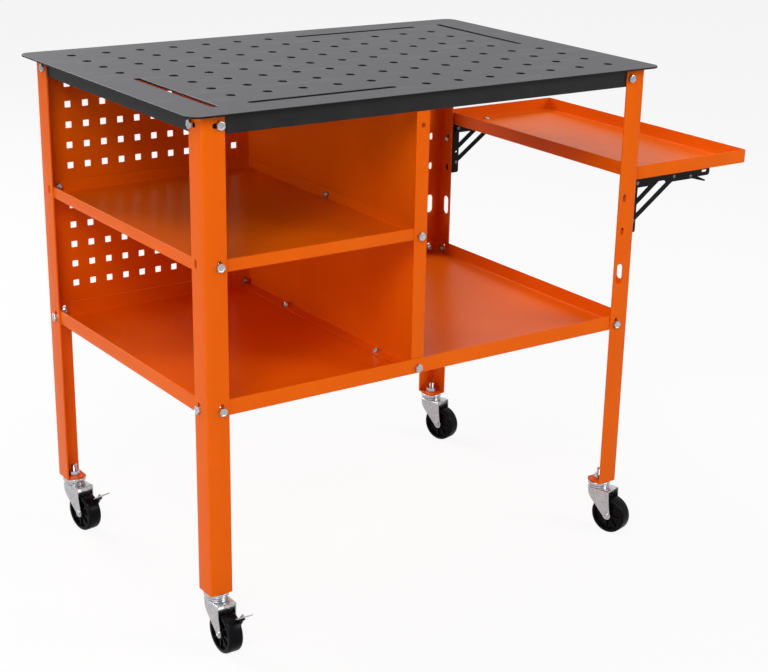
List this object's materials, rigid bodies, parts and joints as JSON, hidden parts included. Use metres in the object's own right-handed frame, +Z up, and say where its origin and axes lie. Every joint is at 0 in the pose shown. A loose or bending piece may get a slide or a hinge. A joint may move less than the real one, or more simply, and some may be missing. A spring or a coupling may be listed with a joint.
{
  "type": "folding work table",
  "caption": "Rolling steel work table with a drilled and slotted top, angle legs, shelves, a perforated back, a divider, swivel casters and a side tray that folds down on latching brackets.",
  "frame": {"origin": "on the floor below the centre of the object's box", "axes": "+Z up, +X along the table towards the folding tray, +Y from the front to the perforated back"},
  "size_m": [1.151, 0.6516, 0.864],
  "materials": {
    "orange_paint": "semi-gloss powder coat",
    "black_paint": "satin powder coat",
    "dark_top": "fine textured dark grey",
    "zinc_plate": "bright zinc plate",
    "black_wheel": "moulded, slightly glossy",
    "grey_lever": "plated pressing",
    "black_shoe": "moulded"
  },
  "bodies": {
    "frame": {"table_top": "dark_top", "front_apron": "black_paint", "back_apron": "black_paint", "left_apron": "black_paint", "right_apron": "black_paint", "lower_shelf": "orange_paint", "mid_shelf": "orange_paint", "divider": "orange_paint", "back_panel": "orange_paint", "front_wall_plate": "black_paint", "front_arm_pin": "zinc_plate", "front_strut_pin": "zinc_plate", "front_inner_pin": "zinc_plate", "back_wall_plate": "black_paint", "back_arm_pin": "zinc_plate", "back_strut_pin": "zinc_plate", "back_inner_pin": "zinc_plate", "front_left_leg": "orange_paint", "front_left_caster_stem": "zinc_plate", "front_left_stem_nut": "zinc_plate", "front_right_leg": "orange_paint", "front_right_caster_stem": "zinc_plate", "front_right_stem_nut": "zinc_plate", "back_left_leg": "orange_paint", "back_left_caster_stem": "zinc_plate", "back_left_stem_nut": "zinc_plate", "back_right_leg": "orange_paint", "back_right_caster_stem": "zinc_plate", "back_right_stem_nut": "zinc_plate"},
    "tray": {"folding_tray": "orange_paint", "front_arm": "black_paint", "front_latch_pin": "zinc_plate", "back_arm": "black_paint", "back_latch_pin": "zinc_plate"},
    "front_outer_strut": {"front_outer_strut": "black_paint"},
    "front_inner_strut": {"front_inner_strut": "black_paint"},
    "front_latch_lever": {"front_latch_lever": "black_paint"},
    "back_outer_strut": {"back_outer_strut": "black_paint"},
    "back_inner_strut": {"back_inner_strut": "black_paint"},
    "back_latch_lever": {"back_latch_lever": "black_paint"},
    "front_left_fork": {"front_left_caster_fork": "zinc_plate", "front_left_axle": "zinc_plate"},
    "front_left_wheel": {"front_left_wheel": "black_wheel"},
    "front_left_brake": {"front_left_brake_lever": "grey_lever", "front_left_brake_shoe": "black_shoe"},
    "front_right_fork": {"front_right_caster_fork": "zinc_plate", "front_right_axle": "zinc_plate"},
    "front_right_wheel": {"front_right_wheel": "black_wheel"},
    "back_left_fork": {"back_left_caster_fork": "zinc_plate", "back_left_axle": "zinc_plate"},
    "back_left_wheel": {"back_left_wheel": "black_wheel"},
    "back_left_brake": {"back_left_brake_lever": "grey_lever", "back_left_brake_shoe": "black_shoe"},
    "back_right_fork": {"back_right_caster_fork": "zinc_plate", "back_right_axle": "zinc_plate"},
    "back_right_wheel": {"back_right_wheel": "black_wheel"}
  },
  "joints": [
    {"name": "tray_fold", "type": "hinge", "parent": "frame", "child": "tray", "pos_m": [0.313, 0.02276, 0.657], "axis": [0, 1, 0], "range_deg": [0, 85]},
    {"name": "front_outer_strut_swing", "type": "hinge", "parent": "frame", "child": "front_outer_strut", "pos_m": [0.3115, -0.23824, 0.5884], "axis": [0, 1, 0], "range_deg": [0, 117.8]},
    {"name": "front_inner_strut_swing", "type": "hinge", "parent": "frame", "child": "front_inner_strut", "pos_m": [0.3115, -0.23824, 0.6096], "axis": [0, 1, 0], "range_deg": [0, 118.6]},
    {"name": "front_latch_press", "type": "hinge", "parent": "tray", "child": "front_latch_lever", "pos_m": [0.45, -0.23824, 0.6521], "axis": [0, -1, 0], "range_deg": [0, 8], "stiffness_Nm_per_rad": 0.2, "springref_deg": -5.73},
    {"name": "back_outer_strut_swing", "type": "hinge", "parent": "frame", "child": "back_outer_strut", "pos_m": [0.3115, 0.28376, 0.5884], "axis": [0, 1, 0], "range_deg": [0, 117.8]},
    {"name": "back_inner_strut_swing", "type": "hinge", "parent": "frame", "child": "back_inner_strut", "pos_m": [0.3115, 0.28376, 0.6096], "axis": [0, 1, 0], "range_deg": [0, 118.6]},
    {"name": "back_latch_press", "type": "hinge", "parent": "tray", "child": "back_latch_lever", "pos_m": [0.45, 0.28376, 0.6521], "axis": [0, -1, 0], "range_deg": [0, 8], "stiffness_Nm_per_rad": 0.2, "springref_deg": -5.73},
    {"name": "front_left_swivel", "type": "hinge", "parent": "frame", "child": "front_left_fork", "pos_m": [-0.5295, -0.24324, 0.081], "axis": [0, 0, 1], "continuous": true},
    {"name": "front_left_roll", "type": "hinge", "parent": "front_left_fork", "child": "front_left_wheel", "pos_m": [-0.5295, -0.27324, 0.0347], "axis": [1, 0, 0], "continuous": true},
    {"name": "front_left_brake_press", "type": "hinge", "parent": "front_left_fork", "child": "front_left_brake", "pos_m": [-0.5295, -0.27324, 0.0347], "axis": [1, 0, 0], "range_deg": [0, 20]},
    {"name": "front_right_swivel", "type": "hinge", "parent": "frame", "child": "front_right_fork", "pos_m": [0.2805, -0.24324, 0.081], "axis": [0, 0, 1], "continuous": true},
    {"name": "front_right_roll", "type": "hinge", "parent": "front_right_fork", "child": "front_right_wheel", "pos_m": [0.28826, -0.27222, 0.0347], "axis": [0.9659, 0.2588, 0], "continuous": true},
    {"name": "back_left_swivel", "type": "hinge", "parent": "frame", "child": "back_left_fork", "pos_m": [-0.5295, 0.28876, 0.081], "axis": [0, 0, 1], "continuous": true},
    {"name": "back_left_roll", "type": "hinge", "parent": "back_left_fork", "child": "back_left_wheel", "pos_m": [-0.52481, 0.25913, 0.0347], "axis": [0.9877, 0.1564, 0], "continuous": true},
    {"name": "back_left_brake_press", "type": "hinge", "parent": "back_left_fork", "child": "back_left_brake", "pos_m": [-0.52481, 0.25913, 0.0347], "axis": [0.9877, 0.1564, 0], "range_deg": [0, 20]},
    {"name": "back_right_swivel", "type": "hinge", "parent": "frame", "child": "back_right_fork", "pos_m": [0.2805, 0.28876, 0.081], "axis": [0, 0, 1], "continuous": true},
    {"name": "back_right_roll", "type": "hinge", "parent": "back_right_fork", "child": "back_right_wheel", "pos_m": [0.28826, 0.25978, 0.0347], "axis": [0.9659, 0.2588, 0], "continuous": true}
  ],
  "couplings": [
    {"joint": "front_outer_strut_swing", "follows": "tray_fold", "ratio": 1.3835},
    {"joint": "front_inner_strut_swing", "follows": "tray_fold", "ratio": 1.3928},
    {"joint": "back_outer_strut_swing", "follows": "tray_fold", "ratio": 1.3835},
    {"joint": "back_inner_strut_swing", "follows": "tray_fold", "ratio": 1.3928}
  ]
}
